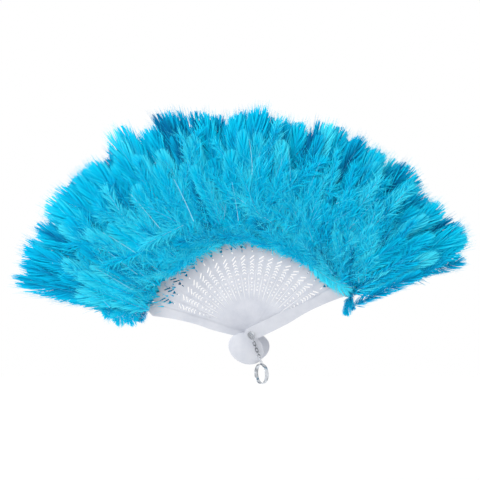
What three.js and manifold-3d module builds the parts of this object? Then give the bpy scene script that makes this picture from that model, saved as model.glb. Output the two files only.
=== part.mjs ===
// Folding feather fan. Two guards and a set of pierced sticks turn on one rivet, each carries a tuft of
// feathers, and a finger ring hangs from the rivet on a short chain. Millimetres.
// The fan is drawn flat, front upwards, with the pivot at the origin, and then stood up to face -Y.

import * as THREE from 'three';
import { mergeVertices } from 'three/addons/utils/BufferGeometryUtils.js';
import Module from 'manifold-3d';

const wasm = await Module();
wasm.setup();

const radians = THREE.MathUtils.degToRad;

// Layout: angles are anticlockwise from the right, seen from the front
const STICK_COUNT = 19;
const BACK_GUARD_ANGLE = 166.2;
const OPEN_ANGLE = 140;

// Clearances
const SEAT_GAP = 0.3;
const BORE_CLEARANCE = 0.5;

// Pivot rivet and washer
const SHAFT_RADIUS = 1.5;
const RIVET_HEAD_RADIUS = 3.6;
const RIVET_HEAD_THICKNESS = 1.6;
const RIVET_HEAD_CHAMFER = 0.4;
const WASHER_RADIUS = 3.4;
const WASHER_THICKNESS = 0.8;
const COLLAR_RADIUS = 2.6;
const COLLAR_THICKNESS = 0.8;
const NECK_RADIUS = 0.9;
const NECK_LENGTH = 0.8;
const EYE_RADIUS = 1.75;
const EYE_WIRE = 1.0;

// Stick: a rounded end at the rivet, a tapered shank, a widening pierced blade and a rib under the feathers
const STICK_THICKNESS = 0.9;
const STICK_END_RADIUS = 4.6;
const SHANK_NECK_WIDTH = 2.4;
const SHANK_WIDTH = 4.6;
const SHANK_LENGTH = 42;
const BLADE_LENGTH = 100;
const BLADE_WIDTH = 13;
const SHOULDER_LENGTH = 6;
const RIB_WIDTH = 4;
const RIB_LENGTH = 190;

// Piercings of a stick, in a pattern that ends with the blade and is drawn outwards from its first dot
const PIERCED_LENGTH = 56;
const DOT_COUNT = 3;
const DOT_PITCH = 3.5;
const DOT_RADIUS = 0.75;
const DROP_AT = 11.3;
const DROP_RADIUS = 1.1;
const DROP_POINT = 2;
const DROP_OPENING = 60;
const CHEVRON_AT = 16;
const CHEVRON_COUNT = 4;
const CHEVRON_PITCH = 3;
const CHEVRON_WIDTH = 4;
const CHEVRON_RISE = 1.2;
const CHEVRON_STROKE = 1;
const SLOT_WIDTH = 1.1;
const SLOT_PITCH = 3.8;
const SLOT_COUNT = 2;
const SLOT_SLANT = 50;
const INNER_SLOT_AT = 28.7;
const INNER_SLOT_LENGTH = 5.5;
const SLIT_AT = 37.5;
const SLIT_LENGTH = 3;
const SLIT_WIDTH = 0.8;
const HEART_AT = 41.3;
const HEART_LENGTH = 3.2;
const HEART_WIDTH = 3.4;
const HEART_DIP = 0.8;
const HEART_BULGE = 0.85;
const OUTER_SLOT_AT = 47.2;
const OUTER_SLOT_LENGTH = 6.4;

// Guard: a waisted band with a domed oval head beside the pivot
const GUARD_THICKNESS = 2.2;
const GUARD_ROOT_WIDTH = 13.4;
const GUARD_ROOT_LENGTH = 30;
const GUARD_WAIST_WIDTH = 9.4;
const GUARD_WAIST_AT = 64;
const GUARD_END_WIDTH = 14.4;
const GUARD_SHOULDER_LENGTH = 8;
const HEAD_HALF_LENGTH = 18.6;
const HEAD_HALF_BREADTH = 14.6;
const HEAD_TILT = -10;
const HEAD_OFFSET = 15.1;
const FRONT_HEAD_TURN = -135;
const BACK_HEAD_TURN = 105;
const HEAD_DOME = 1.8;
const HEAD_ROUND = 0.7;
const WASHER_SEAT_CLEARANCE = 0.6;

// Feather tufts: fan-shaped clusters with scalloped tips. Their tips reach past the ribs by shares of one
// length, from the back guard to the front guard.
const TUFT_ROOT_SPREAD = 4.6;
const TUFT_SPREAD = 7.6;
const TUFT_SHOULDER = 26;
const TUFT_SIDE_DROP = 20;
const TIP_REACH = 34;
const TIP_SHARES = [
  1.72, 1.66, 1.46, 1.49, 1.33, 1.13, 1.56, 1.03, 1.36, 1.03, 0.87,
  1.1, 0.67, 0.87, 1, 0.87, 0.87, 1.07, 1.1, 0.97, 1.4,
];
const TIP_SPACING = 4.8;
const TIP_SIDE_DROP = 6;
const TIP_BLUNT = 1.1;
const TIP_NOTCH = 15;

// Chain and finger ring: the chain slants to the right in front of the head, and the ring hangs straighter
const CHAIN_ANGLE = -70;
const LINK_COUNT = 7;
const LINK_WIRE = 0.9;
const LINK_BEND_RADIUS = 1.2;
const LINK_STRAIGHT = 2.2;
const JUMP_RING_RADIUS = 2.2;
const RING_RADIUS = 10.2;
const RING_WALL = 1;
const RING_BAND = 4.4;
const RING_ROUND = 0.35;
const RING_TURN = 58;
const RING_HANG = -18;
const LUG_OVERLAP = 0.2;

// Facets
const STICK_CURVE_STEPS = 3;
const GUARD_CURVE_STEPS = 6;
const HEAD_STEPS = 32;
const DOME_STEPS = 4;
const ROUND_STEPS = 16;
const WIRE_SIDES = 6;
const LINK_STEPS = 14;
const RING_STEPS = 32;

// Heights of the stack on the rivet, from the flat back of its head
const STICK_PITCH = STICK_THICKNESS + SEAT_GAP;
const BACK_GUARD_Z = RIVET_HEAD_THICKNESS + SEAT_GAP;
const FIRST_STICK_Z = BACK_GUARD_Z + GUARD_THICKNESS + SEAT_GAP;
const FRONT_GUARD_Z = FIRST_STICK_Z + STICK_COUNT * STICK_PITCH;
const WASHER_Z = FRONT_GUARD_Z + GUARD_THICKNESS + SEAT_GAP;
const COLLAR_Z = WASHER_Z + WASHER_THICKNESS + SEAT_GAP;
const NECK_Z = COLLAR_Z + COLLAR_THICKNESS;
const CHAIN_Z = NECK_Z + NECK_LENGTH + EYE_RADIUS;
const BORE_RADIUS = SHAFT_RADIUS + BORE_CLEARANCE;

// Angles of the fan spread open
const FRONT_GUARD_ANGLE = BACK_GUARD_ANGLE - OPEN_ANGLE;
const STICK_ANGLE_PITCH = OPEN_ANGLE / (STICK_COUNT + 1);

// Materials
const WHITE_PLASTIC = { color: 0xdde0ea, roughness: 0.4, metalness: 0 };
const FEATHER = { color: 0x14aede, roughness: 0.9, metalness: 0 };
const PLATED_STEEL = { color: 0xc8ccd2, roughness: 0.2, metalness: 1 };

function mesh(name, geometry, finish) {
  const piece = new THREE.Mesh(geometry, new THREE.MeshStandardMaterial(finish));
  piece.name = name;
  return piece;
}

// A closed geometry as a solid for joining and cutting
function solid(geometry) {
  const bare = geometry.clone();
  bare.deleteAttribute('normal');
  bare.deleteAttribute('uv');
  const merged = mergeVertices(bare, 1e-4);
  const vertProperties = new Float32Array(merged.attributes.position.array);
  const triVerts = new Uint32Array(merged.index.array);
  return new wasm.Manifold(new wasm.Mesh({ numProp: 3, vertProperties, triVerts }));
}

function geometryOf(body) {
  const { vertProperties, triVerts } = body.getMesh();
  const geometry = new THREE.BufferGeometry();
  geometry.setAttribute('position', new THREE.BufferAttribute(new Float32Array(vertProperties), 3));
  geometry.setIndex(new THREE.BufferAttribute(new Uint32Array(triVerts), 1));
  geometry.computeVertexNormals();
  return geometry;
}

function plate(shape, thickness, curveSegments) {
  return new THREE.ExtrudeGeometry(shape, { depth: thickness, bevelEnabled: false, curveSegments });
}

// A turned piece: the profile gives radius and height, and the axis is +Z
function turned(profile, steps) {
  const points = profile.map(([radius, height]) => new THREE.Vector2(radius, height));
  return new THREE.LatheGeometry(points, steps).rotateX(Math.PI / 2);
}

function circle(x, y, radius) {
  return new THREE.Shape().absarc(x, y, radius, 0, 2 * Math.PI, false);
}

function outline(points) {
  return new THREE.Shape(points.map(([x, y]) => new THREE.Vector2(x, y)));
}

// The bare rib that carries a stick or guard on under its feathers, drawn outwards and back
function drawRib(shape) {
  const half = RIB_WIDTH / 2;
  shape.lineTo(RIB_LENGTH - half, -half);
  shape.lineTo(RIB_LENGTH, -half / 2);
  shape.lineTo(RIB_LENGTH, half / 2);
  shape.lineTo(RIB_LENGTH - half, half);
}

function drop(x) {
  const hole = new THREE.Shape();
  hole.moveTo(x + DROP_POINT, 0);
  hole.absarc(x, 0, DROP_RADIUS, radians(DROP_OPENING), radians(-DROP_OPENING), false);
  hole.closePath();
  return hole;
}

// An arrow stroke that points away from the pivot
function chevron(x) {
  const half = CHEVRON_WIDTH / 2;
  const back = x - CHEVRON_RISE / 2;
  const tip = x + CHEVRON_RISE / 2;
  return outline([
    [back, -half],
    [back + CHEVRON_STROKE, -half],
    [tip + CHEVRON_STROKE, 0],
    [back + CHEVRON_STROKE, half],
    [back, half],
    [tip, 0],
  ]);
}

function slantedSlot(x, length, slant) {
  const along = new THREE.Vector2(Math.cos(radians(slant)), Math.sin(radians(slant)));
  const across = new THREE.Vector2(-along.y, along.x);
  const corners = [[-1, -1], [1, -1], [1, 1], [-1, 1]];
  return outline(corners.map(([end, side]) => [
    x + (end * along.x * length + side * across.x * SLOT_WIDTH) / 2,
    (end * along.y * length + side * across.y * SLOT_WIDTH) / 2,
  ]));
}

function slit(x) {
  const half = SLIT_WIDTH / 2;
  return outline([[x, -half], [x + SLIT_LENGTH, -half], [x + SLIT_LENGTH, half], [x, half]]);
}

// A heart whose point is towards the pivot
function heart(x) {
  const end = x + HEART_LENGTH;
  const lobe = HEART_WIDTH / 4;
  const bulge = HEART_WIDTH / 2 + HEART_BULGE;
  const hole = new THREE.Shape();
  hole.moveTo(x, 0);
  hole.quadraticCurveTo(end - lobe, -bulge, end, -lobe);
  hole.lineTo(end - HEART_DIP, 0);
  hole.lineTo(end, lobe);
  hole.quadraticCurveTo(end - lobe, bulge, x, 0);
  return hole;
}

function piercings() {
  const holes = [drop(DROP_AT), slit(SLIT_AT), heart(HEART_AT)];
  for (let i = 0; i < DOT_COUNT; i += 1) {
    holes.push(circle(i * DOT_PITCH, 0, DOT_RADIUS));
  }
  for (let i = 0; i < CHEVRON_COUNT; i += 1) {
    holes.push(chevron(CHEVRON_AT + i * CHEVRON_PITCH));
  }
  for (let i = 0; i < SLOT_COUNT; i += 1) {
    holes.push(slantedSlot(INNER_SLOT_AT + i * SLOT_PITCH, INNER_SLOT_LENGTH, -SLOT_SLANT));
    holes.push(slantedSlot(OUTER_SLOT_AT + i * SLOT_PITCH, OUTER_SLOT_LENGTH, SLOT_SLANT));
  }
  return holes;
}

// A cutter that passes right through a stick, set outwards from the pivot
function throughStick(hole, x) {
  const cutter = plate(hole, 3 * STICK_THICKNESS, STICK_CURVE_STEPS);
  return solid(cutter.translate(x, 0, -STICK_THICKNESS));
}

function stickGeometry() {
  const neck = SHANK_NECK_WIDTH / 2;
  const shank = SHANK_WIDTH / 2;
  const blade = BLADE_WIDTH / 2;
  const rib = RIB_WIDTH / 2;
  const ribStart = BLADE_LENGTH + SHOULDER_LENGTH;
  const meet = Math.asin(neck / STICK_END_RADIUS);
  const shape = new THREE.Shape();
  shape.absarc(0, 0, STICK_END_RADIUS, meet, 2 * Math.PI - meet, false);
  shape.lineTo(SHANK_LENGTH, -shank);
  shape.lineTo(BLADE_LENGTH, -blade);
  shape.lineTo(ribStart, -rib);
  drawRib(shape);
  shape.lineTo(ribStart, rib);
  shape.lineTo(BLADE_LENGTH, blade);
  shape.lineTo(SHANK_LENGTH, shank);
  let body = solid(plate(shape, STICK_THICKNESS, STICK_CURVE_STEPS));
  body = body.subtract(throughStick(circle(0, 0, BORE_RADIUS), 0));
  for (const hole of piercings()) {
    body = body.subtract(throughStick(hole, BLADE_LENGTH - PIERCED_LENGTH));
  }
  return geometryOf(body);
}

function guardBand() {
  const root = GUARD_ROOT_WIDTH / 2;
  const waist = GUARD_WAIST_WIDTH / 2;
  const end = GUARD_END_WIDTH / 2;
  const rib = RIB_WIDTH / 2;
  const ribStart = BLADE_LENGTH + GUARD_SHOULDER_LENGTH;
  const ease = (GUARD_WAIST_AT - GUARD_ROOT_LENGTH) / 2;
  const flare = (GUARD_WAIST_AT + BLADE_LENGTH) / 2;
  const shape = new THREE.Shape();
  shape.absarc(0, 0, root, Math.PI / 2, 1.5 * Math.PI, false);
  shape.lineTo(GUARD_ROOT_LENGTH, -root);
  shape.bezierCurveTo(
    GUARD_ROOT_LENGTH + ease, -root, GUARD_WAIST_AT - ease, -waist, GUARD_WAIST_AT, -waist,
  );
  shape.quadraticCurveTo(flare, -waist, BLADE_LENGTH, -end);
  shape.lineTo(ribStart, -rib);
  drawRib(shape);
  shape.lineTo(ribStart, rib);
  shape.lineTo(BLADE_LENGTH, end);
  shape.quadraticCurveTo(flare, waist, GUARD_WAIST_AT, waist);
  shape.bezierCurveTo(
    GUARD_WAIST_AT - ease, waist, GUARD_ROOT_LENGTH + ease, root, GUARD_ROOT_LENGTH, root,
  );
  return plate(shape, GUARD_THICKNESS, GUARD_CURVE_STEPS);
}

// The head: a flat inner face, a rounded rim and a shallow dome on the outer face, longer along Y
function guardHead() {
  const edge = HEAD_HALF_LENGTH;
  const rim = edge - HEAD_ROUND;
  const profile = [[0, 0], [rim, 0], [edge, HEAD_ROUND], [edge, GUARD_THICKNESS - HEAD_ROUND]];
  for (let i = 0; i < DOME_STEPS; i += 1) {
    const radius = rim * (1 - i / DOME_STEPS);
    const rise = 1 - (radius / rim) ** 2;
    profile.push([radius, GUARD_THICKNESS + HEAD_DOME * rise]);
  }
  profile.push([0, GUARD_THICKNESS + HEAD_DOME]);
  return turned(profile, HEAD_STEPS).scale(HEAD_HALF_BREADTH / HEAD_HALF_LENGTH, 1, 1);
}

// A guard with its outer face up: the band and head joined, the bore cut, and a flat seat cut in the dome
function guardGeometry(headTurn) {
  const head = guardHead();
  head.rotateZ(radians(HEAD_TILT)).translate(HEAD_OFFSET, 0, 0).rotateZ(radians(headTurn));
  const cutHeight = 2 * (GUARD_THICKNESS + HEAD_DOME);
  const bore = new THREE.CylinderGeometry(BORE_RADIUS, BORE_RADIUS, 2 * cutHeight, ROUND_STEPS);
  bore.rotateX(Math.PI / 2);
  const seatRadius = Math.max(WASHER_RADIUS, RIVET_HEAD_RADIUS) + WASHER_SEAT_CLEARANCE;
  const seat = new THREE.CylinderGeometry(seatRadius, seatRadius, cutHeight, ROUND_STEPS);
  seat.rotateX(Math.PI / 2).translate(0, 0, GUARD_THICKNESS + cutHeight / 2);
  const body = solid(guardBand()).add(solid(head)).subtract(solid(bore)).subtract(solid(seat));
  return geometryOf(body);
}

function tipRadius(place) {
  return RIB_LENGTH + TIP_REACH * TIP_SHARES[place];
}

function polar(radius, angle) {
  return new THREE.Vector2(radius * Math.cos(radians(angle)), radius * Math.sin(radians(angle)));
}

// The outer edge of a tuft's tips, from one side to the other: a blunt scallop for each feather
function tipOutline(tip) {
  const points = [];
  for (let feather = -1; feather <= 1; feather += 1) {
    const angle = feather * TIP_SPACING;
    const radius = tip - TIP_SIDE_DROP * Math.abs(feather);
    if (feather > -1) {
      points.push(polar(tip - TIP_NOTCH, angle - TIP_SPACING / 2));
    }
    points.push(polar(radius, angle - TIP_BLUNT));
    points.push(polar(radius, angle + TIP_BLUNT));
  }
  return points;
}

// A tuft lies in the layer of its stick, and its feathers start beside the stick's rib
function tuftGeometry(start, tip, thickness) {
  const slot = RIB_WIDTH / 2 + SEAT_GAP;
  const slotEnd = RIB_LENGTH + SEAT_GAP;
  const side = tip - TIP_SIDE_DROP - TUFT_SIDE_DROP;
  const points = [
    new THREE.Vector2(slotEnd, slot),
    new THREE.Vector2(slotEnd, -slot),
    new THREE.Vector2(start, -slot),
    polar(start, -TUFT_ROOT_SPREAD),
    polar(start + TUFT_SHOULDER, -TUFT_SPREAD),
    polar(side, -TUFT_SPREAD),
    ...tipOutline(tip),
    polar(side, TUFT_SPREAD),
    polar(start + TUFT_SHOULDER, TUFT_SPREAD),
    polar(start, TUFT_ROOT_SPREAD),
    new THREE.Vector2(start, slot),
  ];
  return plate(new THREE.Shape(points), thickness, STICK_CURVE_STEPS);
}

// The rivet: a flat back head, a shaft through the stack, a collar over the washer and an eye on a neck
function rivetGeometry() {
  const profile = [
    [0, 0],
    [RIVET_HEAD_RADIUS - RIVET_HEAD_CHAMFER, 0],
    [RIVET_HEAD_RADIUS, RIVET_HEAD_CHAMFER],
    [RIVET_HEAD_RADIUS, RIVET_HEAD_THICKNESS],
    [SHAFT_RADIUS, RIVET_HEAD_THICKNESS],
    [SHAFT_RADIUS, COLLAR_Z],
    [COLLAR_RADIUS, COLLAR_Z],
    [COLLAR_RADIUS, NECK_Z],
    [NECK_RADIUS, NECK_Z],
    [NECK_RADIUS, NECK_Z + NECK_LENGTH],
    [0, NECK_Z + NECK_LENGTH],
  ];
  const eye = new THREE.TorusGeometry(EYE_RADIUS, EYE_WIRE / 2, WIRE_SIDES, ROUND_STEPS);
  eye.rotateX(Math.PI / 2).translate(0, 0, CHAIN_Z);
  return geometryOf(solid(turned(profile, ROUND_STEPS)).add(solid(eye)));
}

function washerGeometry() {
  const hole = SHAFT_RADIUS + SEAT_GAP;
  const profile = [
    [hole, 0], [WASHER_RADIUS, 0], [WASHER_RADIUS, WASHER_THICKNESS], [hole, WASHER_THICKNESS], [hole, 0],
  ];
  return turned(profile, ROUND_STEPS);
}

// An oval link: a ring pulled apart at its middle, drawn from the middle of its first bend along +X
function linkGeometry() {
  const link = new THREE.TorusGeometry(LINK_BEND_RADIUS, LINK_WIRE / 2, WIRE_SIDES, LINK_STEPS);
  const position = link.attributes.position;
  for (let i = 0; i < position.count; i += 1) {
    const x = position.getX(i);
    position.setX(i, x + Math.sign(x) * LINK_STRAIGHT / 2);
  }
  return link.translate(LINK_BEND_RADIUS + LINK_STRAIGHT / 2, 0, 0);
}

// The finger ring and its lug, drawn from the middle of the lug along +X
function fingerRingGeometry() {
  const inner = RING_RADIUS - RING_WALL;
  const half = RING_BAND / 2;
  const profile = [
    [inner, RING_ROUND - half],
    [inner + RING_ROUND, -half],
    [RING_RADIUS - RING_ROUND, -half],
    [RING_RADIUS, RING_ROUND - half],
    [RING_RADIUS, half - RING_ROUND],
    [RING_RADIUS - RING_ROUND, half],
    [inner + RING_ROUND, half],
    [inner, half - RING_ROUND],
    [inner, RING_ROUND - half],
  ];
  const band = turned(profile, RING_STEPS);
  const centre = LINK_BEND_RADIUS + LINK_WIRE / 2 - LUG_OVERLAP + RING_RADIUS;
  band.rotateX(radians(RING_TURN)).translate(centre, 0, 0);
  const lug = new THREE.TorusGeometry(LINK_BEND_RADIUS, LINK_WIRE / 2, WIRE_SIDES, LINK_STEPS);
  return geometryOf(solid(band).add(solid(lug)));
}

function addStick(fan, geometry, name, tuftName, angle, z, tip) {
  const stick = mesh(name, geometry, WHITE_PLASTIC);
  stick.position.z = z;
  stick.rotation.z = radians(angle);
  const start = BLADE_LENGTH + SHOULDER_LENGTH + SEAT_GAP;
  const tuft = mesh(tuftName, tuftGeometry(start, tip, STICK_THICKNESS), FEATHER);
  tuft.position.copy(stick.position);
  tuft.rotation.copy(stick.rotation);
  fan.add(stick, tuft);
}

// The back guard is turned over, so that its dome faces the back
function addGuard(fan, name, tuftName, angle, z, tip, headTurn, facesBack) {
  const geometry = guardGeometry(facesBack ? -headTurn : headTurn);
  if (facesBack) {
    geometry.rotateX(Math.PI).translate(0, 0, GUARD_THICKNESS);
  }
  const guard = mesh(name, geometry, WHITE_PLASTIC);
  guard.position.z = z;
  guard.rotation.z = radians(angle);
  const start = BLADE_LENGTH + GUARD_SHOULDER_LENGTH + SEAT_GAP;
  const tuft = mesh(tuftName, tuftGeometry(start, tip, GUARD_THICKNESS), FEATHER);
  tuft.position.copy(guard.position);
  tuft.rotation.copy(guard.rotation);
  fan.add(guard, tuft);
}

// The chain runs along the +X of its own group. Odd links stand across the fan and even ones lie flat.
function addChain(fan) {
  const chain = new THREE.Group();
  chain.position.z = CHAIN_Z;
  chain.rotation.z = radians(CHAIN_ANGLE);
  fan.add(chain);

  const hold = LINK_WIRE + SEAT_GAP;
  const jumpRing = mesh(
    'jump_ring',
    new THREE.TorusGeometry(JUMP_RING_RADIUS, LINK_WIRE / 2, WIRE_SIDES, ROUND_STEPS),
    PLATED_STEEL,
  );
  const eyeHold = (EYE_WIRE + LINK_WIRE) / 2 + SEAT_GAP;
  const jumpRingStart = EYE_RADIUS - eyeHold;
  jumpRing.position.x = jumpRingStart + JUMP_RING_RADIUS;
  chain.add(jumpRing);

  let start = jumpRingStart + 2 * JUMP_RING_RADIUS - hold;
  for (let i = 1; i <= LINK_COUNT; i += 1) {
    const link = mesh(`chain_link_${i}`, linkGeometry(), PLATED_STEEL);
    link.position.x = start;
    link.rotation.x = i % 2 === 1 ? Math.PI / 2 : 0;
    chain.add(link);
    start += 2 * LINK_BEND_RADIUS + LINK_STRAIGHT - hold;
  }

  const ring = mesh('finger_ring', fingerRingGeometry(), PLATED_STEEL);
  ring.position.x = start + LINK_BEND_RADIUS;
  ring.rotation.z = radians(RING_HANG);
  chain.add(ring);
}

const fan = new THREE.Group();
fan.rotation.x = Math.PI / 2;

const stickBody = stickGeometry();
const backTip = tipRadius(0);
addGuard(
  fan, 'back_guard', 'feathers_back_guard',
  BACK_GUARD_ANGLE, BACK_GUARD_Z, backTip, BACK_HEAD_TURN, true,
);
for (let i = 1; i <= STICK_COUNT; i += 1) {
  const number = String(i).padStart(2, '0');
  const angle = BACK_GUARD_ANGLE - i * STICK_ANGLE_PITCH;
  const z = FIRST_STICK_Z + (i - 1) * STICK_PITCH;
  addStick(fan, stickBody, `stick_${number}`, `feathers_${number}`, angle, z, tipRadius(i));
}
const frontTip = tipRadius(STICK_COUNT + 1);
addGuard(
  fan, 'front_guard', 'feathers_front_guard',
  FRONT_GUARD_ANGLE, FRONT_GUARD_Z, frontTip, FRONT_HEAD_TURN, false,
);

const rivet = mesh('pivot_rivet', rivetGeometry(), PLATED_STEEL);
rivet.rotation.z = radians(CHAIN_ANGLE);
const washer = mesh('pivot_washer', washerGeometry(), PLATED_STEEL);
washer.position.z = WASHER_Z;
fan.add(rivet, washer);
addChain(fan);

const part = new THREE.Group();
part.add(fan);

export default part;
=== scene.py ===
# %% [markdown]
# # A folding feather fan
# White moulded sticks turn on one rivet, and every stick carries a tuft of dyed turquoise feathers.
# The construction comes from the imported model: each node sits where the real piece sits, so this lesson
# only adds what the eye sees, which is the feathers, the finishes, the light and the camera.

import math
import random

import bmesh
import bpy
import numpy as np
from mathutils import Matrix, Vector


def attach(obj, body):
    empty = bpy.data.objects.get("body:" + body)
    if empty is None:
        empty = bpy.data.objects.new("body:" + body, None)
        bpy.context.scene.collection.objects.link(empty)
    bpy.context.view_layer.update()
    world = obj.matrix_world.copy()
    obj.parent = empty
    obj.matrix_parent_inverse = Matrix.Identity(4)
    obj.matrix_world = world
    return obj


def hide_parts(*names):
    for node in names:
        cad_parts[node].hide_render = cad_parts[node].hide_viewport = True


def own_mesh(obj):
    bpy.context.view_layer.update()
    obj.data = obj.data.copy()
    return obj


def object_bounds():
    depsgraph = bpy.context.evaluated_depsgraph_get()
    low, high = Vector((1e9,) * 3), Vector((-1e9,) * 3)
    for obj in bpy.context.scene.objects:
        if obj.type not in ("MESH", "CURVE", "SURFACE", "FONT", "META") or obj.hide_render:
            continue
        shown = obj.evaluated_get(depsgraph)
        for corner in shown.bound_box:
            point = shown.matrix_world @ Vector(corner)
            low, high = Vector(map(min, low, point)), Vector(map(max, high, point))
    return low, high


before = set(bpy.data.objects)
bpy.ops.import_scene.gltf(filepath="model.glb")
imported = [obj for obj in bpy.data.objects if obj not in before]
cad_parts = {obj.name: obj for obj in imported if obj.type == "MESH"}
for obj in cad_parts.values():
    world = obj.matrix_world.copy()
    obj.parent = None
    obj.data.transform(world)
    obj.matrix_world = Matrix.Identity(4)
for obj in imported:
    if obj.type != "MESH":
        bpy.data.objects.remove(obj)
cad_low, cad_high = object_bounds()
MM = 0.001
print("CAD box in mm:", [round(v / MM, 1) for v in (*cad_low, *cad_high)])

# %% [markdown]
# ## Camera
# The photograph looks straight at the open fan. Its frame is 480 pixels wide and one pixel is about one
# millimetre at the fan, so the camera stands far back with a long lens and frames 480 mm there.

# %% Place the camera
IMAGE_PX = 480
PIVOT_PX = (251, 333.5)
CAMERA_DISTANCE = 1.5
SENSOR_MM = 36
FAN_PLANE_Y = -15 * MM

camera_data = bpy.data.cameras.new("camera")
camera_data.sensor_width = SENSOR_MM
camera_data.lens = SENSOR_MM * CAMERA_DISTANCE / (IMAGE_PX * MM)
camera_data.dof.use_dof = False
camera = bpy.data.objects.new("camera", camera_data)
camera.location = (
    (IMAGE_PX / 2 - PIVOT_PX[0]) * MM,
    FAN_PLANE_Y - CAMERA_DISTANCE,
    (PIVOT_PX[1] - IMAGE_PX / 2) * MM,
)
camera.rotation_euler = (math.pi / 2, 0, 0)
bpy.context.collection.objects.link(camera)
bpy.context.scene.camera = camera
print("lens", round(camera_data.lens, 1), "mm")

# %% [markdown]
# ## Small helpers for materials
# Colours are written as sRGB hex and turned to linear once. One function adds a node, sets what it is
# told to set and links its inputs, so that each finish below reads as a short list of nodes.


# %% Colour and node helpers
def linear(hex_colour):
    channels = [int(hex_colour[i : i + 2], 16) / 255 for i in (1, 3, 5)]
    curve = [c / 12.92 if c <= 0.04045 else ((c + 0.055) / 1.055) ** 2.4 for c in channels]
    return (*curve, 1.0)


def add_node(material, kind, inputs=None, **settings):
    node = material.node_tree.nodes.new(kind)
    for name, value in settings.items():
        setattr(node, name, value)
    for name, value in (inputs or {}).items():
        if isinstance(value, bpy.types.NodeSocket):
            material.node_tree.links.new(value, node.inputs[name])
        else:
            node.inputs[name].default_value = value
    return node


def new_material(name):
    material = bpy.data.materials.new(name)
    material.use_nodes = True
    shader = material.node_tree.nodes["Principled BSDF"]
    return material, shader


def set_ramp(node, stops):
    elements = node.color_ramp.elements
    while len(elements) < len(stops):
        elements.new(0.5)
    for element, (place, colour) in zip(elements, stops):
        element.position = place
        element.color = linear(colour)


# %% [markdown]
# ## Moulded white plastic
# The sticks are thin injection-moulded polypropylene. It is a cool white, a little milky, with a satin
# skin and faint flow marks from the mould, so the colour hardly changes and the gloss wanders a little.


# %% White plastic
def moulded_polypropylene():
    # Gives the eye a cool, slightly clouded white with a soft sheen that isn't quite even.
    material, shader = new_material("moulded_polypropylene")
    place = add_node(material, "ShaderNodeTexCoord")
    flow_mm = 14
    flow = add_node(
        material,
        "ShaderNodeTexNoise",
        {"Vector": place.outputs["Object"], "Scale": 1 / (flow_mm * MM), "Detail": 3.0, "Roughness": 0.6},
    )
    milky = add_node(material, "ShaderNodeValToRGB", {"Fac": flow.outputs["Fac"]})
    set_ramp(milky, [(0.3, "#C9CCD5"), (0.7, "#D6D8DF")])
    gloss = add_node(
        material,
        "ShaderNodeMapRange",
        {"Value": flow.outputs["Fac"], "To Min": 0.34, "To Max": 0.5},
    )
    # The real grain is finer, and is drawn coarse enough to show.
    grain_mm = 0.8
    grain = add_node(
        material,
        "ShaderNodeTexNoise",
        {"Vector": place.outputs["Object"], "Scale": 1 / (grain_mm * MM), "Detail": 2.0},
    )
    bump = add_node(
        material,
        "ShaderNodeBump",
        {"Height": grain.outputs["Fac"], "Strength": 0.08, "Distance": 0.1 * MM},
    )
    links = material.node_tree.links
    links.new(milky.outputs["Color"], shader.inputs["Base Color"])
    links.new(gloss.outputs["Result"], shader.inputs["Roughness"])
    links.new(bump.outputs["Normal"], shader.inputs["Normal"])
    shader.inputs["IOR"].default_value = 1.49
    shader.inputs["Subsurface Weight"].default_value = 0.25
    shader.inputs["Subsurface Radius"].default_value = (1.0, 1.0, 1.0)
    shader.inputs["Subsurface Scale"].default_value = 0.8 * MM
    return material


white_plastic = moulded_polypropylene()
print("made", white_plastic.name)

# %% [markdown]
# ## Bright nickel plate
# The rivet, chain and finger ring are steel with a bright nickel plate. It mirrors the room, with hair
# scratches from handling, so the roughness is low and broken by a fine stretched noise. Darker and lighter
# areas in its colour are a painted reflection of that room.


# %% Nickel plate
def nickel_plate():
    # Gives the eye a bright mirror, broken by hair scratches and by darker areas of painted reflection,
    # which stand for a room.
    material, shader = new_material("nickel_plated_steel")
    place = add_node(material, "ShaderNodeTexCoord")
    stretch = add_node(
        material,
        "ShaderNodeMapping",
        {"Vector": place.outputs["Object"], "Scale": (1.0, 1.0, 0.15)},
    )
    # Real hair scratches are finer, and are drawn coarse enough to show.
    scratch_mm = 0.5
    scratches = add_node(
        material,
        "ShaderNodeTexNoise",
        {"Vector": stretch.outputs["Vector"], "Scale": 1 / (scratch_mm * MM), "Detail": 4.0},
    )
    gloss = add_node(
        material,
        "ShaderNodeMapRange",
        {"Value": scratches.outputs["Fac"], "To Min": 0.1, "To Max": 0.28},
    )
    # Painted reflection: darker and lighter areas in the base colour stand for a room mirrored in the metal.
    patch_mm = 8
    patches = add_node(
        material,
        "ShaderNodeTexNoise",
        {"Vector": place.outputs["Object"], "Scale": 1 / (patch_mm * MM), "Detail": 2.0},
    )
    painted_room_reflection = add_node(material, "ShaderNodeValToRGB", {"Fac": patches.outputs["Fac"]})
    set_ramp(painted_room_reflection, [(0.38, "#74787E"), (0.62, "#D2D6DC")])
    links = material.node_tree.links
    links.new(gloss.outputs["Result"], shader.inputs["Roughness"])
    links.new(painted_room_reflection.outputs["Color"], shader.inputs["Base Color"])
    shader.inputs["Metallic"].default_value = 1.0
    return material


nickel = nickel_plate()
print("made", nickel.name)

# %% [markdown]
# ## Dress the CAD pieces
# Sticks, guards, rivet, chain and ring keep their CAD shapes, and modifiers finish them without touching
# the mesh. A weld joins the loose triangles first. Then a bevel softens the edges of the mouldings, as a
# mould does, and a subdivision rounds the wire of the chain and the band of the ring, which are faceted in
# the CAD. The rivet and its washer keep their crisp edges.

# %% Finishes of the CAD pieces
METAL_STARTS = ("chain_link", "jump_ring", "finger_ring", "pivot")
METAL_NODES = [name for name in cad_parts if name.startswith(METAL_STARTS)]
FEATHER_NODES = [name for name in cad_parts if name.startswith("feathers")]
PLASTIC_NODES = [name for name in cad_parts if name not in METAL_NODES + FEATHER_NODES]
WELD_REACH = 0.01 * MM
EDGE_SOFTNESS = 0.2 * MM
SHARP_ANGLE = math.radians(50)
WIRE_LEVELS = 2


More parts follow.
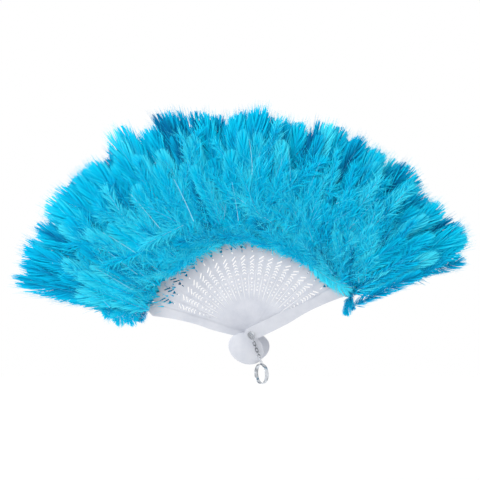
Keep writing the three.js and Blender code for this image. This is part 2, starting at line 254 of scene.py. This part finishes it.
def give(node_name, material):
    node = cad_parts[node_name]
    node.data.materials.clear()
    node.data.materials.append(material)
    return node


def weld_triangles(piece):
    weld = piece.modifiers.new("weld", "WELD")
    weld.merge_threshold = WELD_REACH


for name in PLASTIC_NODES:
    moulding = give(name, white_plastic)
    weld_triangles(moulding)
    edge = moulding.modifiers.new("soft_edge", "BEVEL")
    edge.width = EDGE_SOFTNESS
    edge.segments = 2
    edge.limit_method = "ANGLE"
    edge.angle_limit = SHARP_ANGLE
for name in METAL_NODES:
    metal_piece = give(name, nickel)
    if not name.startswith("pivot"):
        weld_triangles(metal_piece)
        wire = metal_piece.modifiers.new("round_wire", "SUBSURF")
        wire.levels = wire.render_levels = WIRE_LEVELS
print(len(PLASTIC_NODES), "plastic pieces and", len(METAL_NODES), "metal pieces")

# %% [markdown]
# ## Dyed feather
# Feathers of this kind are dyed turkey and marabou. A barb is painted darker at the shaft, as painted shade
# for the shade that gathers there, and lighter at its thin tip, and each feather took the dye a little
# differently.
# An image could carry this, but two numbers stored on the mesh as attributes are simpler and follow every
# bend:
# reach runs from 0 at the shaft to 1 at a barb's tip, and tone differs between feathers, at random for the
# dye and lower in the rows at the back as painted shade.


# %% Feather materials
def dyed_feather():
    # Gives the eye depth with painted shade: dark turquoise near the shafts and in the back rows, pale tips,
    # hardly any gloss.
    material, shader = new_material("dyed_feather_barbs")
    reach = add_node(material, "ShaderNodeAttribute", attribute_name="reach")
    tone = add_node(material, "ShaderNodeAttribute", attribute_name="tone")
    tip_lightness = 0.42
    blend = add_node(
        material,
        "ShaderNodeMath",
        {0: reach.outputs["Fac"], 1: tip_lightness, 2: tone.outputs["Fac"]},
        operation="MULTIPLY_ADD",
    )
    dye_and_shade = add_node(material, "ShaderNodeValToRGB", {"Fac": blend.outputs["Value"]})
    # Painted shade: the dark end of this ramp, near the shafts and in the back rows, stands for shade
    # between the barbs.
    set_ramp(dye_and_shade, [(0.0, "#0074AA"), (0.3, "#00BAE8"), (0.6, "#00D2F6"), (1.0, "#44E8FE")])
    material.node_tree.links.new(dye_and_shade.outputs["Color"], shader.inputs["Base Color"])
    shader.inputs["Roughness"].default_value = 0.75
    shader.inputs["Specular IOR Level"].default_value = 0.05
    shader.inputs["Sheen Weight"].default_value = 0.05
    shader.inputs["Sheen Roughness"].default_value = 0.5
    return material


def feather_shaft():
    # Gives the eye a few pale lines, where a stiff quill took less dye than the barbs.
    material, shader = new_material("dyed_feather_shaft")
    tone = add_node(material, "ShaderNodeAttribute", attribute_name="tone")
    quill = add_node(material, "ShaderNodeValToRGB", {"Fac": tone.outputs["Fac"]})
    set_ramp(quill, [(0.4, "#10B4E4"), (0.75, "#A8E6F6")])
    material.node_tree.links.new(quill.outputs["Color"], shader.inputs["Base Color"])
    shader.inputs["Roughness"].default_value = 0.4
    return material


barb_material = dyed_feather()
shaft_material = feather_shaft()
print("made", barb_material.name, "and", shaft_material.name)

# %% [markdown]
# ## One feather
# A feather is a thin shaft with barbs along both sides. A barb is a narrow ribbon, drawn from one short
# edge that is extruded a few times, turning towards the tip as it goes. Hair curves would be lighter to
# write, but ribbons are plain mesh, which every exporter keeps.


# %% Barbs and shafts
VANE_SWELL = (1.0, 1.25, 1.25, 0.5)
LASH_SWELL = (1.0, 0.9, 0.6, 0.15)
SHAFT_TAPER = (1, 0.8, 0.8)
SHAFT_SLOT = 1


def start_feather():
    bm = bmesh.new()
    bm.verts.layers.float.new("reach")
    bm.verts.layers.float.new("tone")
    return bm


def add_barb(bm, root, direction, normal, length, widths, turn, tone):
    """A ribbon from root: its width follows the list, and it turns about its normal, step by step."""
    reach_layer = bm.verts.layers.float["reach"]
    tone_layer = bm.verts.layers.float["tone"]
    steps = len(widths) - 1
    tilt = Matrix.Rotation(turn / steps, 3, normal)
    side = normal.cross(direction).normalized()
    ends = [bm.verts.new(root + side * (widths[0] / 2 * k)) for k in (-1, 1)]
    edge = bm.edges.new(ends)
    for vert in ends:
        vert[tone_layer] = tone
    place = root
    for step in range(1, steps + 1):
        direction = tilt @ direction
        place = place + direction * (length / steps)
        side = normal.cross(direction).normalized()
        made = bmesh.ops.extrude_edge_only(bm, edges=[edge])["geom"]
        fresh = [part for part in made if isinstance(part, bmesh.types.BMVert)]
        fresh.sort(key=lambda vert: (vert.co - ends[0].co).length)
        for vert, k in zip(fresh, (-1, 1)):
            vert.co = place + side * (widths[step] / 2 * k)
            vert[reach_layer] = step / steps
            vert[tone_layer] = tone
        ends = fresh
        edge = bm.edges.get(ends)


def add_shaft(bm, length, radius, steps):
    """A three-sided shaft along +X, a little proud of the barbs, that tapers towards its tip."""
    ring = bmesh.ops.create_circle(bm, segments=3, radius=radius)["verts"]
    bmesh.ops.rotate(bm, verts=ring, matrix=Matrix.Rotation(math.pi / 2, 3, "Y"))
    bmesh.ops.translate(bm, verts=ring, vec=(0, 0, 2 * radius))
    # The ring is all that the mesh holds so far.
    edges = bm.edges[:]
    for _ in range(steps):
        made = bmesh.ops.extrude_edge_only(bm, edges=edges)["geom"]
        verts = [part for part in made if isinstance(part, bmesh.types.BMVert)]
        edges = [part for part in made if isinstance(part, bmesh.types.BMEdge) and not part.link_faces[1:]]
        bmesh.ops.translate(bm, verts=verts, vec=(length / steps, 0, 0))
        centre = sum((vert.co for vert in verts), Vector()) / len(verts)
        bmesh.ops.scale(bm, verts=verts, vec=SHAFT_TAPER, space=Matrix.Translation(-centre))
    for face in bm.faces:
        face.material_index = SHAFT_SLOT


def finish_feather(bm, name):
    mesh = bpy.data.meshes.new(name)
    bm.to_mesh(mesh)
    bm.free()
    mesh.materials.append(barb_material)
    mesh.materials.append(shaft_material)
    return mesh


def across_to(direction, rng, scatter):
    """A unit normal across a barb, near the feather's own face, turned at random by about scatter."""
    normal = Vector((rng.gauss(0, scatter), rng.gauss(0, scatter), 1))
    return (normal - direction * normal.dot(direction)).normalized()


print("a barb has", len(VANE_SWELL) - 1, "faces")

# %% [markdown]
# ## Plumes
# A plume's barbs lie close and make a soft vane with a blunt tip. They cling together in locks, and near
# the quill they are loose and downy. About half of them are thin lashes that reach past the vane, so that
# its edge is soft. A few plumes are modelled, and every plume on the fan is a bent copy of one.

# %% Plumes
PLUME_LENGTH = 118 * MM
PLUME_HALF_WIDTH = 13.5 * MM
PLUME_SHAFT = PLUME_LENGTH * 0.86
PLUME_SHAFT_RADIUS = 0.45 * MM
PLUME_SHAFT_STEPS = 6
PLUME_BARBS = 165
BARB_ADVANCE = 18 * MM
DOWNY_TO = 0.4
QUILL_END_WIDTH = 0.7
ROUND_FROM = 0.62
BLUNT_ALONG = 0.8
BLUNT_ACROSS = 0.6
LASH_SHARE = 0.5
LASH_REACH = (0.95, 1.35)
VANE_REACH = (0.86, 0.98)
LASH_WIDTH_MM = (0.22, 0.36)
VANE_WIDTH_MM = (0.8, 1.1)
LOCK_BARBS = 9
LOCK_CLING = 0.3
LOCK_LEAN_SPREAD = 1.5
LOCK_REACH = (0.96, 1.02)
LOCK_TONE_SPREAD = 0.05
# A barb turns by so many degrees, and starts out by this share of the turn
BARB_TURN = (8, 34)
TURN_LEAD = 0.6
BARB_TONE_SPREAD = 0.03
# The scatter of the barbs in the firm vane and what the downy part adds, in degrees, the last as a slope
LEAN_SCATTER = (2, 9)
LIFT_SCATTER = (5, 16)
FACE_SCATTER = (0.14, 0.24)
VARIETIES = 6
PLUME_SEED = 100


def plume_edge(share, root_x):
    """Where the barb from this share of the shaft ends: along a straight side, then a blunt tip."""
    if share < ROUND_FROM:
        grown = QUILL_END_WIDTH + (1 - QUILL_END_WIDTH) * share / ROUND_FROM
        return root_x + BARB_ADVANCE, PLUME_HALF_WIDTH * grown
    turn = (share - ROUND_FROM) / (1 - ROUND_FROM) * math.pi / 2
    side_end = PLUME_SHAFT * ROUND_FROM + BARB_ADVANCE
    end_x = side_end + (PLUME_LENGTH - side_end) * math.sin(turn) ** BLUNT_ALONG
    return end_x, PLUME_HALF_WIDTH * math.cos(turn) ** BLUNT_ACROSS


def new_lock(rng):
    """Barbs cling together in locks, which lean (in degrees), end and take the dye alike."""
    return rng.gauss(0, LOCK_LEAN_SPREAD), rng.uniform(*LOCK_REACH), rng.gauss(0, LOCK_TONE_SPREAD)


def scatter_at(pair, downy):
    firm, added = pair
    return firm + added * downy


def plume(name, seed):
    """A flat feather: close barbs in locks, downy near the quill, with a blunt tip and a thin fringe."""
    rng = random.Random(seed)
    bm = start_feather()
    add_shaft(bm, PLUME_SHAFT, PLUME_SHAFT_RADIUS, PLUME_SHAFT_STEPS)
    for i in range(2 * PLUME_BARBS):
        side = 1 if i < PLUME_BARBS else -1
        barb = i % PLUME_BARBS
        in_lock = barb % LOCK_BARBS
        if in_lock == 0:
            lock_lean, lock_reach, lock_tone = new_lock(rng)
        share = barb / (PLUME_BARBS - 1)
        downy = max(0.0, 1 - share / DOWNY_TO)
        root = Vector((PLUME_SHAFT * share, 0, 0))
        end_x, end_y = plume_edge(share, root.x)
        turn = math.radians(rng.uniform(*BARB_TURN))
        cling = LOCK_CLING * (in_lock - LOCK_BARBS / 2) + lock_lean
        stray = math.radians(cling + rng.gauss(0, scatter_at(LEAN_SCATTER, downy)))
        lean = math.atan2(end_y, end_x - root.x) + TURN_LEAD * turn + stray
        lift = math.radians(rng.gauss(0, scatter_at(LIFT_SCATTER, downy)))
        direction = Vector((math.cos(lean), side * math.sin(lean), math.sin(lift))).normalized()
        lash = rng.random() < LASH_SHARE
        reach = lock_reach * rng.uniform(*(LASH_REACH if lash else VANE_REACH))
        length = math.hypot(end_x - root.x, end_y) * reach
        width = rng.uniform(*(LASH_WIDTH_MM if lash else VANE_WIDTH_MM)) * MM
        widths = [width * swell for swell in (LASH_SWELL if lash else VANE_SWELL)]
        normal = across_to(direction, rng, scatter_at(FACE_SCATTER, downy))
        tone = lock_tone + rng.gauss(0, BARB_TONE_SPREAD)
        add_barb(bm, root, direction, normal, length, widths, -side * turn, tone)
    return finish_feather(bm, name)


PLUMES = [plume(f"plume_{i}", PLUME_SEED + i) for i in range(VARIETIES)]
print(len(PLUMES), "plumes,", len(PLUMES[0].polygons), "faces each")

# %% [markdown]
# ## Down and quills
# The barbs of down are long, loose and turned every way, so they make a cloud and no vane. A quill is a
# bare shaft, of which a few show pale between the feathers.

# %% Down and quills
DOWN_LENGTH = 62 * MM
DOWN_SHAFT = DOWN_LENGTH * 0.75
DOWN_SHAFT_RADIUS = 0.3 * MM
SHORT_SHAFT_STEPS = 4
DOWN_BARBS = 72
DOWN_BARB_MM = (11, 20)
DOWN_WIDTH_MM = (0.6, 0.95)
# How the loose barbs lean, lift and turn, in degrees
DOWN_LEAN = (25, 70)
DOWN_LEAN_DROP = 20
DOWN_LIFT_SPREAD = 26
DOWN_TURN = (-15, 50)
DOWN_SHORTENING = 0.2
DOWN_FACE_SCATTER = 0.5
DOWN_TONE_SPREAD = 0.05
DOWN_SEED = 200
QUILL_LENGTH = DOWN_LENGTH * 0.7
QUILL_RADIUS = 0.4 * MM


def down(name, seed):
    """A marabou feather: a short shaft under a cloud of long loose barbs."""
    rng = random.Random(seed)
    bm = start_feather()
    add_shaft(bm, DOWN_SHAFT, DOWN_SHAFT_RADIUS, SHORT_SHAFT_STEPS)
    for i in range(DOWN_BARBS):
        share = i / (DOWN_BARBS - 1)
        for side in (-1, 1):
            lean = math.radians(rng.uniform(*DOWN_LEAN) - DOWN_LEAN_DROP * share)
            lift = math.radians(rng.gauss(0, DOWN_LIFT_SPREAD))
            direction = Vector((math.cos(lean), side * math.sin(lean), math.sin(lift))).normalized()
            length = rng.uniform(*DOWN_BARB_MM) * MM * (1 - DOWN_SHORTENING * share)
            turn = -side * math.radians(rng.uniform(*DOWN_TURN))
            root = Vector((DOWN_SHAFT * share, 0, 0))
            normal = across_to(direction, rng, DOWN_FACE_SCATTER)
            width = rng.uniform(*DOWN_WIDTH_MM) * MM
            widths = [width * swell for swell in LASH_SWELL]
            tone = rng.gauss(0, DOWN_TONE_SPREAD)
            add_barb(bm, root, direction, normal, length, widths, turn, tone)
    return finish_feather(bm, name)


def bare_shaft(name):
    """A stripped quill end: a pale shaft that shows between the feathers."""
    bm = start_feather()
    add_shaft(bm, QUILL_LENGTH, QUILL_RADIUS, SHORT_SHAFT_STEPS)
    return finish_feather(bm, name)


QUILLS = [bare_shaft("bare_shaft")]
DOWNS = [down(f"down_{i}", DOWN_SEED + i) for i in range(VARIETIES)]
print(len(DOWNS), "down feathers,", len(DOWNS[0].polygons), "faces each")

# %% [markdown]
# ## Tufts
# Each stick carries long plumes that reach the edge, shorter ones laid over them like shingles, and down
# that hides their quills and lies along the inner edge. A particle system could scatter them, but placing
# each copy by listed rows keeps the photograph's layers. The plain CAD plate of a tuft tells where its
# feathers belong: at which angle, how far out and how deep in the stack.


# %% Where each tuft sits
DEGREE = math.pi / 180
TIP_TOLERANCE = 0.01 * MM


def tuft_seat(node_name, lean):
    """The angle of the tuft, the radius of its tips and the depth of its layer, from the CAD plate."""
    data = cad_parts[node_name].data
    points = np.empty(len(data.vertices) * 3)
    data.vertices.foreach_get("co", points)
    points = points.reshape(-1, 3)
    radius = np.hypot(points[:, 0], points[:, 2])
    tips = points[radius > radius.max() - TIP_TOLERANCE]
    angle = math.atan2(tips[:, 2].mean(), tips[:, 0].mean()) + lean * DEGREE
    return angle, radius.max(), (points[:, 1].min() + points[:, 1].max()) / 2


seats = [tuft_seat(name, 0) for name in FEATHER_NODES]
seat_angles = [angle / DEGREE for angle, _, _ in seats]
print(len(seats), "tufts from", round(min(seat_angles)), "to", round(max(seat_angles)), "degrees")

# %% [markdown]
# A copy of a feather is stretched, bent and rolled, and then turned to its place in the fan (outwards,
# across, and towards the front). One that would stand far out of the fan is pressed back. A curve modifier
# could bend it, but a few lines on the points give bend, cup, sway and roll at once.

# %% Bend and place a copy
PROUD = 9.5 * MM
SOFT = 7 * MM


def press_flat(depth):
    """Feathers that would stand far out of the fan are pressed back, softly, at the front and the back."""
    back = cad_high.y + PROUD - SOFT
    front = cad_low.y - PROUD + SOFT
    depth = np.where(depth > back, back + SOFT * np.tanh((depth - back) / SOFT), depth)
    return np.where(depth < front, front - SOFT * np.tanh((front - depth) / SOFT), depth)


def place_copy(prototype, quill, heading, size, shape, tone):
    """A bent copy of a feather with its quill at a point of the fan and its shaft along heading."""
    mesh = prototype.copy()
    count = len(mesh.vertices)
    co = np.empty(count * 3)
    mesh.vertices.foreach_get("co", co)
    x, y, z = (co.reshape(-1, 3) * size).T
    length = x.max()
    along = np.clip(x / length, 0, 1) ** 2 * length
    z = z + shape["bend"] * along - shape["cup"] * np.abs(y) ** 1.5 / math.sqrt(length)
    y = y + shape["sway"] * along
    turn_cos, turn_sin = math.cos(shape["roll"]), math.sin(shape["roll"])
    y, z = y * turn_cos - z * turn_sin, y * turn_sin + z * turn_cos
    outward = np.array([math.cos(heading), 0, math.sin(heading)])
    across = np.array([-math.sin(heading), 0, math.cos(heading)])
    front = np.array([0, -1, 0])
    placed = np.array(quill) + np.outer(x, outward) + np.outer(y, across) + np.outer(z, front)
    placed[:, 1] = press_flat(placed[:, 1])
    mesh.vertices.foreach_set("co", placed.astype(np.float32).ravel())
    tones = np.empty(count, np.float32)
    mesh.attributes["tone"].data.foreach_get("value", tones)
    mesh.attributes["tone"].data.foreach_set("value", tones + np.float32(tone))
    return mesh


def join_meshes(name, meshes):
    pieces = [bpy.data.objects.new(f"{name}_{i}", mesh) for i, mesh in enumerate(meshes)]
    for piece in pieces:
        bpy.context.collection.objects.link(piece)
    with bpy.context.temp_override(
        active_object=pieces[0], object=pieces[0], selected_objects=pieces, selected_editable_objects=pieces
    ):
        bpy.ops.object.join()
    for mesh in meshes[1:]:
        bpy.data.meshes.remove(mesh)
    pieces[0].name = pieces[0].data.name = name
    return pieces[0]


print("feathers stand at most", round(PROUD / MM, 1), "mm proud of the CAD box, front and back")

# %% [markdown]
# A row is one line of a table: which feather, how many, where it starts and ends, how far it strays from
# the stick's direction, how high it lies over the stick and how light its tone is. The tone is partly dye
# and
# partly painted shade: the rows at the back are darkest, so the gaps between the front feathers look deep.

# %% Rows of feathers
ROWS = [
    # kind, count, start, end below the tip, fan, stray, width, height, bend, tone
    # (start, end and height in mm, fan and stray in degrees, width as a share)
    # The tone rises from the back row to the front ones: painted shade for depth, with the dye's own
    # differences added at random.
    ("plume", 2, (80, 85), (75, 100), 3.6, 4.0, (0.8, 1.1), (-7, -4), (-0.02, 0.0), 0.1),
    ("plume", 3, (112, 120), (-1, 8), 3.6, 2.0, (0.85, 1.1), (-3, -1), (-0.02, 0.0), 0.06),
    ("plume", 2, (108, 118), (-5, 4), 2.6, 2.5, (0.75, 1.0), (1, 4), (0.0, 0.04), 0.22),
    ("plume", 2, (112, 122), (14, 46), 3.6, 6.0, (0.5, 0.75), (6, 10), (0.0, 0.08), 0.34),
    ("plume", 3, (100, 116), (46, 82), 3.8, 10.0, (0.5, 0.75), (9, 13), (0.02, 0.1), 0.4),
    ("down", 6, (104, 165), None, 3.8, 34.0, None, (9, 14), (-0.05, 0.12), 0.42),
    ("quill", 1, (112, 160), None, 3.0, 14.0, None, (13, 16), (0.0, 0.05), 0.6),
]
KINDS = {"plume": PLUMES, "down": DOWNS, "quill": QUILLS}
# Beyond these angles, in degrees, feathers only stray inwards
BACK_END_FROM = 150
FRONT_END_TO = 42
# How the copies differ in shape, place, size and dye
CUP = (0.05, 0.25)
SWAY_SPREAD = 0.04
ROLL_SPREAD = 0.16
PLACE_SPREAD = 0.2
LOOSE_SIZE = (0.7, 1.1)
TONE_SPREAD = 0.2


def random_shape(rng, bend):
    return {
        "bend": rng.uniform(*bend),
        "cup": rng.uniform(*CUP),
        "sway": rng.gauss(0, SWAY_SPREAD),
        "roll": rng.gauss(0, ROLL_SPREAD),
    }


def point_at(radius, angle, depth):
    return (radius * math.cos(angle), depth, radius * math.sin(angle))


def strays_out(angle, way):
    """True near the two ends of the fan for a turn that leads out of it."""
    return angle > BACK_END_FROM * DEGREE if way > 0 else angle < FRONT_END_TO * DEGREE


def stray_angle(rng, angle, spread):
    """A random turn from the stick's direction, which near the two ends of the fan is only inwards."""
    turn = rng.gauss(0, spread) * DEGREE
    return -turn if strays_out(angle, turn) else turn


def lay_row(row, seat, rng):
    kind, count, start, end, fan, stray, width, height, bend, tone = row
    angle, tip, layer, wide = seat
    feathers = []
    for i in range(count):
        spread = 2 * (i + 0.5) / count - 1
        off = (spread + rng.gauss(0, PLACE_SPREAD)) * fan * wide * DEGREE
        begin = rng.uniform(*start) * MM
        prototype = rng.choice(KINDS[kind])
        if end:
            stretch = (tip - rng.uniform(*end) * MM - begin) / PLUME_LENGTH
            size = (stretch, rng.uniform(*width), 1.0)
        else:
            size = np.full(3, rng.uniform(*LOOSE_SIZE))
        quill = point_at(begin, angle + off, layer - rng.uniform(*height) * MM)
        heading = angle + off + stray_angle(rng, angle, stray)
        shape = random_shape(rng, bend)
        # The row's tone, painted shade for the rows at the back, plus a random difference in the dye.
        dye_and_shade = tone + rng.gauss(0, TONE_SPREAD)
        feathers.append(place_copy(prototype, quill, heading, size, shape, dye_and_shade))
    return feathers


print(len(ROWS), "rows with", sum(row[1] for row in ROWS), "feathers for an inner stick")

# %% [markdown]
# Along the inner edge short plumes and down lie across the sticks, as a trim does. They point left and
# right in turn, so that the trim of one stick meets that of the next. The edge isn't quite round in the
# photograph, so its radius is read from a short list.

# %% Trim along the inner edge
TRIM_ROWS = [
    # kind, count, spread of the turn in degrees, mm below the top, length and width shares
    ("plume", 2, 16, 3, (0.34, 0.5), (0.45, 0.7)),
    ("down", 7, 24, 0, (0.45, 0.7), (0.55, 0.85)),
]
# Height and inset are in mm, turns and offsets in degrees
TRIM_HEIGHT = (7, 12)
TRIM_INSET = 11
TRIM_INSET_SPREAD = 7
TRIM_TURN = 72
TRIM_TURN_MOST = 90
TRIM_OFF_BOTH_WAYS = (-3, 3)
TRIM_OFF_ONE_WAY = (1, 5)
TRIM_BEND = (-0.05, 0.1)
TRIM_TONE = 0.46
TRIM_TONE_SPREAD = 0.3
THINNER = 0.8
# The radius of the feathers' inner edge in mm, by the angle in degrees
INNER_EDGE = {26: 97, 33: 88, 40: 82, 48: 78, 60: 75, 75: 77, 103: 84, 121: 82, 135: 84, 148: 96, 166: 96}


def inner_edge(angle):
    """The radius of the feathers' inner edge at an angle, between the listed ones."""
    return np.interp(angle / DEGREE, list(INNER_EDGE), list(INNER_EDGE.values())) * MM


def lay_trim(seat, rng, ways):
    """Short plumes and down laid across the stick along the inner edge, one or both ways round the fan."""
    angle, _, layer, _ = seat
    feathers = []
    laid = [row for row in TRIM_ROWS for _ in range(row[1])]
    for i, (kind, _, turn_spread, below, length, width) in enumerate(laid):
        way = ways[i % len(ways)]
        both = len(ways) > 1
        off = rng.uniform(*TRIM_OFF_BOTH_WAYS) if both else way * rng.uniform(*TRIM_OFF_ONE_WAY)
        radius = inner_edge(angle) + (TRIM_INSET + abs(rng.gauss(0, TRIM_INSET_SPREAD))) * MM
        quill = point_at(radius, angle + off * DEGREE, layer - (rng.uniform(*TRIM_HEIGHT) - below) * MM)
        heading = angle + way * min(rng.gauss(TRIM_TURN, turn_spread), TRIM_TURN_MOST) * DEGREE
        prototype = rng.choice(KINDS[kind])
        size = (rng.uniform(*length), rng.uniform(*width), THINNER)
        shape = random_shape(rng, TRIM_BEND)
        dye_and_shade = TRIM_TONE + rng.gauss(0, TRIM_TONE_SPREAD)
        feathers.append(place_copy(prototype, quill, heading, size, shape, dye_and_shade))
    return feathers


print(sum(row[1] for row in TRIM_ROWS), "feathers across each stick")

# %% [markdown]
# The feathers of a stick are joined into two pieces, and both ride on the stick's body. The tuft, of plumes
# and quills along the stick, stands for the plain CAD plate, which is hidden. The trim holds the down and
# what crosses the stick. The two guards differ a little: they have no back row and no quill, their trim only
# runs inwards, because the guard's band is bare, and a few feathers have slipped below them, a clump at the
# left and one small tuft at the right. The lengths, and the lean and spread of the guards' tufts, follow the
# photograph's outline.

# %% Grow the tufts
# The lean of a tuft from its stick, in degrees
LEAN = {"feathers_back_guard": -0.8, "feathers_front_guard": -2.4}
# How far each tuft ends short of its CAD plate's tip, in mm
SHORTER = {
    "feathers_back_guard": 9,
    "feathers_01": -1,
    "feathers_02": 1,
    "feathers_03": -4,
    "feathers_04": -4,
    "feathers_05": -8,
    "feathers_06": -1,
    "feathers_07": -8,
    "feathers_08": -5,
    "feathers_09": -1,
    "feathers_11": 3,
    "feathers_12": -6,
    "feathers_13": 3,
    "feathers_14": -3,
    "feathers_15": -3,
    "feathers_16": -5,
    "feathers_17": -6,
    "feathers_18": 3,
    "feathers_19": -5,
    "feathers_front_guard": -2,
}
WIDER = {"feathers_back_guard": 1.2, "feathers_front_guard": 1.8}
STRAYS = {
    # start radius in mm, angle and heading in degrees, length and width shares, height in mm, tone
    "feathers_back_guard": [
        (110, 167, 247, 0.13, 0.5, 2, 0.05),
        (116, 167, 236, 0.18, 0.7, 4, 0.3),
        (122, 167, 222, 0.22, 0.8, 5, 0.4),
        (130, 167, 203, 0.22, 0.8, 3, 0.34),
        (168, 165.5, 168, 0.68, 0.28, 3, 0.15),
        (164, 164, 164, 0.68, 0.25, 3, 0.2),
    ],
    "feathers_front_guard": [
        (102, 20.5, 262, 0.15, 0.25, -4, 0.12),
        (105, 20.5, 284, 0.12, 0.25, -4, 0.15),
        (108, 22.0, 256, 0.2, 0.35, -4, 0.22),
        (97, 24.0, 21.5, 0.4, 0.5, -4, 0.15),
        (100, 22.5, 20.0, 0.36, 0.4, -5, 0.1),
        (165, 20.5, 15.5, 0.52, 0.6, -2, 0.1),
        (160, 22.5, 18.5, 0.54, 0.6, 2, 0.3),
    ],
}
STRAY_BEND = (0.0, 0.05)


def grow_tuft(node_name, seed):
    rng = random.Random(seed)
    angle, tip, layer = tuft_seat(node_name, LEAN.get(node_name, 0))
    seat = angle, tip - SHORTER.get(node_name, 0) * MM, layer, WIDER.get(node_name, 1)
    ways = [way for way in (-1, 1) if not strays_out(angle, way)]
    # A guard does without the back row and the quill, which are first and last.
    rows = ROWS[1:-1] if node_name.endswith("guard") else ROWS
    along, crossing = [], []
    for row in rows:
        laid = crossing if row[0] == "down" else along
        laid.extend(lay_row(row, seat, rng))
    crossing.extend(lay_trim(seat, rng, ways))
    for start, at, heading, length, width, height, tone in STRAYS.get(node_name, []):
        quill = point_at(start * MM, at * DEGREE, layer - height * MM)
        size = (length, width, THINNER)
        shape = random_shape(rng, STRAY_BEND)
        crossing.append(place_copy(rng.choice(PLUMES), quill, heading * DEGREE, size, shape, tone))
    tuft = join_meshes(node_name.replace("feathers", "tuft"), along)
    trim = join_meshes(node_name.replace("feathers", "trim"), crossing)
    return tuft, trim, (angle, layer)


TUFT_SEED = 1000
triangles = 0
shaft_faces = 0
for index, name in enumerate(sorted(FEATHER_NODES)):
    tuft, trim, (angle, layer) = grow_tuft(name, TUFT_SEED + index)
    body = name.replace("feathers_", "") if name.endswith("guard") else name.replace("feathers", "stick")
    for piece in (tuft, trim):
        triangles += 2 * len(piece.data.polygons)
        shaft_faces += sum(face.material_index for face in piece.data.polygons)
        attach(piece, body)
    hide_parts(name)
    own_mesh(tuft)
    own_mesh(trim)
print(len(FEATHER_NODES), "tufts with", triangles, "triangles,", shaft_faces, "faces of them on shafts")

# %% [markdown]
# ## Floor and light
# The photograph has a plain white ground and soft light from the upper left. A pale floor lies below the
# fan and keeps its shadow. It glows a little where it is seen, so that it looks as white as that ground.

# %% Floor
FLOOR_Z = -190 * MM
FLOOR_HALF_SIDE = 1.6
floor_mesh = bpy.data.meshes.new("floor")
floor_bm = bmesh.new()
bmesh.ops.create_grid(floor_bm, x_segments=1, y_segments=1, size=FLOOR_HALF_SIDE)
bmesh.ops.translate(floor_bm, verts=floor_bm.verts, vec=(0, 0, FLOOR_Z))
floor_bm.to_mesh(floor_mesh)
floor_bm.free()
floor = bpy.data.objects.new("floor", floor_mesh)
bpy.context.collection.objects.link(floor)
# The floor gives the eye a white ground with a faint shadow under the fan.
floor_material, floor_shader = new_material("pale_studio_floor")
floor_shader.inputs["Base Color"].default_value = linear("#FAFAFA")
floor_shader.inputs["Roughness"].default_value = 0.9
floor_shader.inputs["Emission Color"].default_value = linear("#FFFFFF")


def seen_directly(material):
    """1 for what the camera sees, also in metal or through glass, and 0 for light that falls on a piece."""
    path = add_node(material, "ShaderNodeLightPath")
    mirrored = add_node(
        material,
        "ShaderNodeMath",
        {0: path.outputs["Is Camera Ray"], 1: path.outputs["Is Glossy Ray"]},
        operation="MAXIMUM",
    )
    seen = add_node(
        material,
        "ShaderNodeMath",
        {0: mirrored.outputs["Value"], 1: path.outputs["Is Transmission Ray"]},
        operation="MAXIMUM",
    )
    return seen.outputs["Value"]


floor_glow = add_node(
    floor_material,
    "ShaderNodeMapRange",
    {"Value": seen_directly(floor_material), "To Min": 0.0, "To Max": 0.2},
)
floor_material.node_tree.links.new(floor_glow.outputs["Result"], floor_shader.inputs["Emission Strength"])
floor_mesh.materials.append(floor_material)
print("floor", round(-FLOOR_Z / MM), "mm below the rivet")

# %% [markdown]
# The world is white where the camera sees it, also in the metal. Its light on the fan is dimmer, and
# stronger from the upper left. An image of a studio could light it, but a slope of grey is enough here.

# %% World
WORLD_BRIGHT_SIDE = (-0.6, -0.3, 0.74)
WORLD_DIM = 0.42
WORLD_BRIGHT = 0.95
world = bpy.data.worlds.new("studio")
bpy.context.scene.world = world
world.use_nodes = True
background = world.node_tree.nodes["Background"]
background.inputs["Color"].default_value = linear("#FFFFFF")
ray = add_node(world, "ShaderNodeTexCoord")
facing = add_node(
    world,
    "ShaderNodeVectorMath",
    {0: ray.outputs["Object"], 1: WORLD_BRIGHT_SIDE},
    operation="DOT_PRODUCT",
)
room = add_node(
    world,
    "ShaderNodeMapRange",
    {
        "Value": facing.outputs["Value"],
        "From Min": -1.0,
        "From Max": 1.0,
        "To Min": WORLD_DIM,
        "To Max": WORLD_BRIGHT,
    },
)
level = add_node(
    world,
    "ShaderNodeMix",
    {"Factor": seen_directly(world), "A": room.outputs["Result"], "B": 1.0},
)
world.node_tree.links.new(level.outputs["Result"], background.inputs["Strength"])
print("world lights the fan from", WORLD_DIM, "to", WORLD_BRIGHT)

# %% [markdown]
# One large soft lamp on the same side models the feathers. It is a disk a metre across, so that the
# shadows between the feathers have no hard edge.

# %% Lamp
LAMP_PLACE = (-0.9, -0.8, 0.75)
LAMP_AIM = Vector((0, 0, 0.1))
LAMP_ACROSS = 1.0
LAMP_WATTS = 9.0
lamp_data = bpy.data.lights.new("soft_key", "AREA")
lamp_data.shape = "DISK"
lamp_data.size = LAMP_ACROSS
lamp_data.energy = LAMP_WATTS
lamp = bpy.data.objects.new("soft_key", lamp_data)
lamp.location = LAMP_PLACE
aim = LAMP_AIM - lamp.location
lamp.rotation_euler = aim.to_track_quat("-Z", "Y").to_euler()
bpy.context.collection.objects.link(lamp)
bpy.context.scene.view_settings.view_transform = "Standard"
print("lamp", round(aim.length, 2), "m from its aim")
